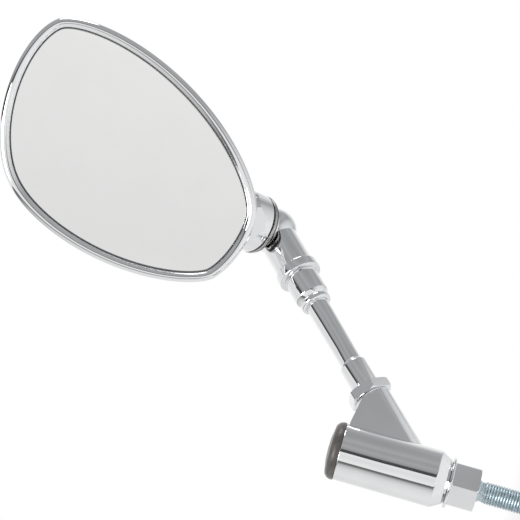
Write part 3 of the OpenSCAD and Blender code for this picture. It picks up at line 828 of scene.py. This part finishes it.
def capPiece():
    c = capSize
    radius, skirt, hole, rim, curve = c["radius"], c["skirt"], c["skirtHole"], c["low"], c["round"]
    top, low = rim + c["height"], rim - c["skirtLength"]
    ceiling, arcLow = top - c["wall"], top - curve - c["crownRise"]
    flatShare, flatDrop = c["crownFlat"]
    profile = [(0, ceiling), (hole, ceiling - c["ceilingFall"]), (hole, low), (skirt, low), (skirt, rim),
        (radius, rim), (radius, arcLow)]
    profile += [(radius - curve * (1 - cos(radians(7.5 * i))), arcLow + curve * sin(radians(7.5 * i)))
        for i in range(1, 13)]
    profile += [(radius * flatShare, top - flatDrop), (0, top)]
    return turnedPiece("endCap", profile, onAxis, 192, sharp=35)


washer = {"hole": 4.04, "radius": 11.5, "low": 12, "top": 13.2}


def washerPiece():
    hole, radius, low, top = washer["hole"], washer["radius"], washer["low"], washer["top"]
    profile = [(hole, low), (radius, low), (radius, top), (hole, top)]
    return turnedPiece("frictionWasher", roundCorners(profile, 0.35, 5), onAxis, 192)


hand(housingPiece(), "arm", chrome, "chrome", "pivot_housing")
hand(hexPiece("baseHexagon", onAxis), "base", chrome, "chrome", "base_hex")
hand(hexPiece("jamNut", onStem(stemSize["jamLow"])), "arm", chrome, "chrome", "jam_nut")
hand(capPiece(), "arm", darkPlastic, "cap_plastic", "end_cap")
hand(washerPiece(), "base", chrome, "chrome", "friction_washer")

hidden = {"pivot_bush": bronze, "thrust_washer": steel, "disc_springs": steel, "top_washer": steel,
    "lock_nut": zinc, "nut_insert": nylon, "seat_front": nylon, "seat_rear": nylon, "seat_spring": steel,
    "backing_pad": foam}
for node, material in hidden.items():
    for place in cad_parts[node].material_slots:
        place.material = material
print("pivot and hidden pieces ready")


# Room, floor, lamps and camera, in metres

# brightness runs across the room: white, a thin dark edge, white, then a dark edge and a grey wall
studio = {"wallDirection": (0.744, -0.614, 0.262), "cool": (0.983, 1, 1.02), "coolFrom": 0.2,
    "brightness": [(-1, 0.84), (-0.8, 0.74), (-0.64, 0.52), (-0.56, 0.20), (-0.47, 0.10), (-0.44, 0.90),
        (-0.1, 0.79), (0.08, 0.85), (0.13, 0.95), (0.16, 0.05), (0.32, 0.08), (0.36, 0.32), (0.55, 0.41),
        (0.72, 0.35), (0.85, 0.42), (1, 0.31)],
    "paperDirection": (0.612, 0.785, 0.102), "paperFade": (0.45, 0.9), "paperWhite": 0.95,
    "floorHeight": -0.06, "floorRadius": 5, "floorFade": (0.15, 0.45), "floorTone": 0.93, "floorRough": 0.9,
    "middle": (0.06, 0, 0.12), "aim": (0.05, 0, 0.1),
    "lamps": {"mainLamp": ((-0.6, -0.5, 0.9), 0.7, 6), "sideLamp": ((0.9, -0.6, 0.5), 0.6, 3)}}


def lighten(tree, amount, colour, grey):
    mix = tree.nodes.new("ShaderNodeMix")
    mix.data_type = "RGBA"
    mix.inputs["B"].default_value = (grey, grey, grey, 1)
    tree.links.new(amount, mix.inputs["Factor"])
    tree.links.new(colour, mix.inputs["A"])
    return mix.outputs["Result"]


def roomBrightness(tree, direction):
    side = vectorMaths(tree, "DOT_PRODUCT", direction, studio["wallDirection"])
    ramp = tree.nodes.new("ShaderNodeValToRGB")
    stops = ramp.color_ramp.elements
    stops.remove(stops[1])
    for i, (at, grey) in enumerate(studio["brightness"]):
        stop = stops[0] if i == 0 else stops.new((at + 1) / 2)
        stop.position = (at + 1) / 2
        tint = studio["cool"] if at > studio["coolFrom"] else (1, 1, 1)
        stop.color = (*(grey * c for c in tint), 1)
    tree.links.new(maths(tree, "MULTIPLY_ADD", side, 0.5, 0.5), ramp.inputs["Fac"])
    # white paper stands behind the object
    behind = vectorMaths(tree, "DOT_PRODUCT", direction, studio["paperDirection"])
    paper = spread(tree, behind, 0, 1, *studio["paperFade"])
    return lighten(tree, paper, ramp.outputs["Color"], studio["paperWhite"])


def floorMaterial():
    # a white floor that keeps the object's shadow, and fades to plain white, or to the room in reflections
    material, tree, shader, coords = newMaterial("paleFloor")
    tone = studio["floorTone"]
    shader.inputs["Base Color"].default_value = (tone, tone, tone, 1)
    shader.inputs["Roughness"].default_value = studio["floorRough"]
    here = coords.outputs["Object"]
    direction = vectorMaths(tree, "NORMALIZE", vectorMaths(tree, "SUBTRACT", here, studio["middle"]))
    path = tree.nodes.new("ShaderNodeLightPath").outputs
    glow = tree.nodes.new("ShaderNodeEmission")
    backdrop = lighten(tree, path["Is Camera Ray"], roomBrightness(tree, direction), 1)
    tree.links.new(backdrop, glow.inputs["Color"])
    either = maths(tree, "MAXIMUM", path["Is Camera Ray"], path["Is Glossy Ray"])
    far = spread(tree, vectorMaths(tree, "LENGTH", here), 0, 1, *studio["floorFade"])
    mix = tree.nodes.new("ShaderNodeMixShader")
    tree.links.new(maths(tree, "MULTIPLY", far, either), mix.inputs["Fac"])
    tree.links.new(shader.outputs["BSDF"], mix.inputs[1])
    tree.links.new(glow.outputs["Emission"], mix.inputs[2])
    tree.links.new(mix.outputs["Shader"], tree.nodes["Material Output"].inputs["Surface"])
    return material


floorMesh = bpy.data.meshes.new("floor")
floorMesh.from_pydata(circle(studio["floorRadius"], studio["floorHeight"], 96), [], [tuple(range(96))])
floor = newPiece("floor", floorMesh)
floor.data.materials.append(floorMaterial())

world = bpy.data.worlds.new("studio")
bpy.context.scene.world = world
world.use_nodes = True
room = world.node_tree
roomColour = roomBrightness(room, room.nodes.new("ShaderNodeTexCoord").outputs["Generated"])
seen = room.nodes.new("ShaderNodeLightPath").outputs["Is Camera Ray"]
room.links.new(lighten(room, seen, roomColour, 1), room.nodes["Background"].inputs["Color"])

for name, (place, size, power) in studio["lamps"].items():
    data = bpy.data.lights.new(name, "AREA")
    data.shape = "DISK"
    data.size = size
    data.energy = power
    lamp = newPiece(name, data)
    lamp.location = place
    lamp.rotation_euler = (Vector(studio["aim"]) - Vector(place)).to_track_quat("-Z", "Y").to_euler()

# camera where the photograph was taken from, turned so that the stud points to the right
view = {"place": (-0.34287, -0.56001, 0.05398), "right": (0.2684762, -0.0839661, -0.9596198),
    "up": (0.7442699, -0.6143514, 0.2619823), "ahead": (0.6115414, 0.7845522, 0.1024453), "lens": 99.69}
cameraData = bpy.data.cameras.new("camera")
cameraData.lens = view["lens"]
cameraData.sensor_width = 36
cameraData.clip_start = 0.01
camera = newPiece("camera", cameraData)
right, up, back = Vector(view["right"]), Vector(view["up"]), -Vector(view["ahead"])
camera.matrix_world = Matrix.Translation(view["place"]) @ Matrix((right, up, back)).transposed().to_4x4()
bpy.context.scene.camera = camera
bpy.context.scene.view_settings.view_transform = "Standard"
print("studio ready")
